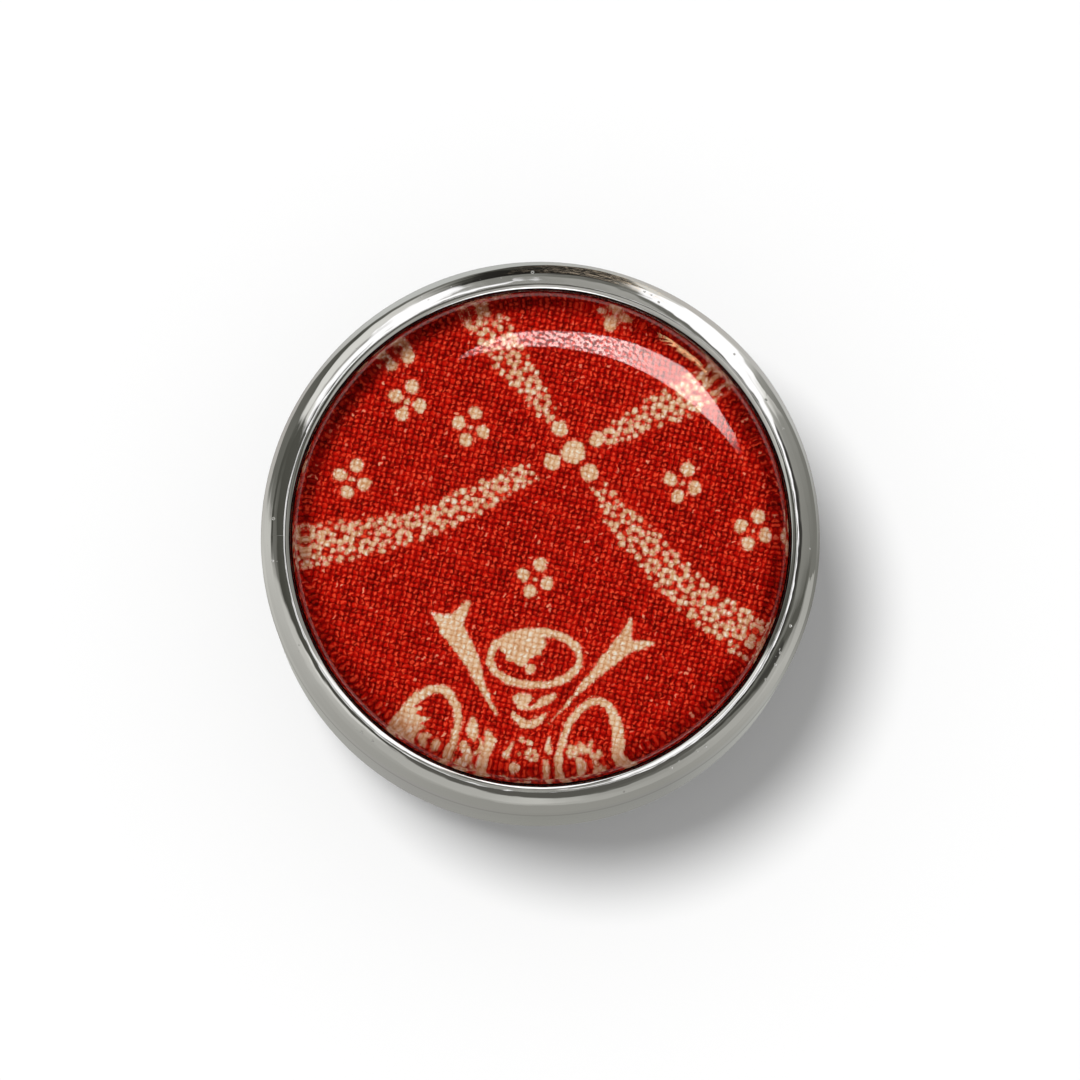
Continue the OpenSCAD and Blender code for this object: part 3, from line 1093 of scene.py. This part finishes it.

# %% [markdown]
# The cotton is dyed red and printed in cream. The red is brighter in a halo round the ink, and a
# few of the painted glints are paler. The ink's edge is rough, by fibre and by crossing.

# %% Finish of the cotton: dye and ink
RED_DYE_AND_SHADE = {0: "#3E0200", 25: "#760501", 50: "#A80B04", 75: "#CE1408", 100: "#F02A12"}
HALO_DYE_AND_SHADE = {0: "#8A0902", 40: "#B61405", 70: "#D62611", 100: "#EE4A2C"}
CREAM_INK_AND_SHADE = {0: "#C88350", 25: "#DEA878", 55: "#EEC49B", 100: "#F9DCB8"}
# each ramp runs from the painted shade of the gaps to the painted light of the crowns
red, halo_red, cream = [fill_ramp(add("ValToRGB", [painted_shade_and_tone]), stops, 100)
                        for stops in (RED_DYE_AND_SHADE, HALO_DYE_AND_SHADE, CREAM_INK_AND_SHADE)]
halo_share = add("MapRange", [ink_edge, 0.2, 0.02, 0.0, 0.85])
pale_share = add("MapRange", [chances.outputs[2], 0.93, 0.99, 0.0, 0.8])
by_fibre = add("MapRange", [fibre, 0.3, 0.7, -0.05, 0.05])
by_crossing = add("MapRange", {0: chances.outputs[0], 3: -0.03, 4: 0.045})
rough_edge = add("Math ADD", [by_crossing, by_fibre])
rough_edge = add("Math ADD", [ink_edge, rough_edge])
ink_share = add("MapRange", [rough_edge, 0.035, -0.035])

ground = add("Mix", {0: halo_share, 6: red, 7: halo_red}, data_type="RGBA")
# painted highlights: the glint colours are painted over the red and the cream
painted_red_glint = add("Mix", {0: pale_share, 6: linear("#FF5232"), 7: linear("#FFC49C")}, data_type="RGBA")
ground = add("Mix", {0: painted_glint, 6: ground, 7: painted_red_glint}, data_type="RGBA")
cream = add("Mix", {0: painted_glint, 6: cream, 7: linear("#FFF6E4")}, data_type="RGBA")
printed = add("Mix", {0: ink_share, 6: ground, 7: cream}, data_type="RGBA")
weave_bump = add("Bump", {"Height": fibre, "Strength": 0.5, "Distance": 0.02 * MM})
cotton_shader = add("BsdfPrincipled", {
    "Base Color": printed, "Roughness": 0.6, "Specular IOR Level": 0.2, "Normal": weave_bump})
add("OutputMaterial", {"Surface": cotton_shader})
cloth.data.materials.append(cotton)
print("cotton finish has", len(cotton.node_tree.nodes), "nodes")

# %% [markdown]
# Near its edge the clear glass is darkened by a painted tint. This painted shade stands for the dark
# side of the cup that it shows there.
# It lets lamps through unbent, so the cloth is lit cleanly. A faint bump is the moulding's unevenness.

# %% Finish: clear glass
GLASS_EDGE_SHADE = {0: "#FFFFFF", 8.7: "#FFFFFF", 9.25: "#C4AAA6", 9.6: "#866662", 10: "#6A4C48"}
clear_glass, add = new_material("fire-polished soda-lime glass")
glass_at = add("TexCoord").outputs["Object"]
glass_ripple = add("TexNoise", {"Vector": glass_at, "Scale": 1 / (2.5 * MM), "Detail": 1.0})
glass_bump = add("Bump", {"Height": glass_ripple, "Strength": 0.3, "Distance": 0.006 * MM})
glass_reach = reach_of(add, add("SeparateXYZ", [glass_at]))
glass_share = add("Math MULTIPLY", [glass_reach, 1 / (10 * MM)])
# painted shade: the glass's colour darkens towards its edge
painted_edge_shade = fill_ramp(add("ValToRGB", [glass_share]), GLASS_EDGE_SHADE, 10)
glass_shader = add("BsdfPrincipled", {
    "Base Color": painted_edge_shade, "Roughness": 0.0, "IOR": glass_index, "Transmission Weight": 1.0,
    "Normal": glass_bump})
lets_light = add("BsdfTransparent", [[1, 1, 1, 1]])
glass_path = add("LightPath")
glass_mix = add("MixShader", [glass_path.outputs["Is Shadow Ray"], glass_shader, lets_light])
add("OutputMaterial", {"Surface": glass_mix})
glass.data.materials.append(clear_glass)

# %% [markdown]
# The cup is stamped brass, polished and plated in bright nickel. Polishing leaves long, low
# waves that make reflections swim, and fine lines round the cup, which are noise over radius
# and height that changes only slowly on the way round.

# %% Finish of the cup: waves and polishing lines
wave_size, line_size = 1.6 * MM, 0.22 * MM
plating, add = new_material("polished plating")
metal_at = add("TexCoord").outputs["Object"]
metal_axes = add("SeparateXYZ", [metal_at])
metal_radius = reach_of(add, metal_axes)
waves = add("TexNoise", {"Vector": metal_at, "Scale": 1 / wave_size, "Detail": 1.5})
wave_bump = add("Bump", {"Height": waves, "Strength": 0.4, "Distance": 0.03 * MM})
slow_turn = add("Math ARCTAN2", [metal_axes.outputs[1], metal_axes.outputs[0]])
slow_turn = add("Math MULTIPLY", [slow_turn, 6.0])
slow_turn = add("CombineXYZ", {2: slow_turn})
lines_at = add("CombineXYZ", [metal_radius, metal_axes.outputs[2]])
line_scale = (1 / line_size, 1 / line_size, 0)
lines_at = add("VectorMath MULTIPLY_ADD", [lines_at, line_scale, slow_turn])
lines = add("TexNoise", {"Vector": lines_at, "Scale": 1.0, "Detail": 2.0})
line_bump = add("Bump", {"Height": lines, "Strength": 0.35, "Distance": 0.012 * MM, "Normal": wave_bump})

# %% [markdown]
# A few pits lie in patches along the widest ring, where plating is thin. They are the middles
# of small cells, kept only in a narrow range of radius.

# %% Finish of the cup: pits
pit_spacing = 0.34 * MM
pits = add("TexVoronoi", {"Vector": metal_at, "Scale": 1 / pit_spacing, "Randomness": 1.0})
pit_depth = add("MapRange", [pits, 0.12, 0.2, 1.0, 0.0])
pit_depth = fade(add, pit_depth, ((metal_radius, 10.56 * MM, 10.62 * MM),
                                  (metal_radius, 10.80 * MM, 10.72 * MM), (waves, 0.5, 0.56)))
pit_bump = add("Bump", {
    "Height": pit_depth, "Strength": 1.0, "Distance": 0.03 * MM, "Normal": line_bump}, invert=True)
plating_shader = add("BsdfPrincipled", {
    "Base Color": linear("#CBCACA"), "Metallic": 1.0, "Roughness": 0.035, "Normal": pit_bump})
add("OutputMaterial", {"Surface": plating_shader})
bezel.data.materials.append(plating)

# %% [markdown]
# The clutch is plated but not polished further, so it is rougher than the cup. One noise sets
# both its fine bumps and how rough each spot is.

# %% Finish: clutch plating
grain_size = 0.25 * MM
clutch_plating, add = new_material("plain bright plating")
clutch_at = add("TexCoord").outputs["Object"]
grain = add("TexNoise", {"Vector": clutch_at, "Scale": 1 / grain_size, "Detail": 2.0})
grain_bump = add("Bump", {"Height": grain, "Strength": 0.25, "Distance": 0.01 * MM})
clutch_rough = add("MapRange", [grain, 0.3, 0.7, 0.16, 0.26])
clutch_shader = add("BsdfPrincipled", {
    "Base Color": linear("#C6C4BE"), "Metallic": 1.0, "Roughness": clutch_rough,
    "Normal": grain_bump})
add("OutputMaterial", {"Surface": clutch_shader})
clutch.data.materials.append(clutch_plating)
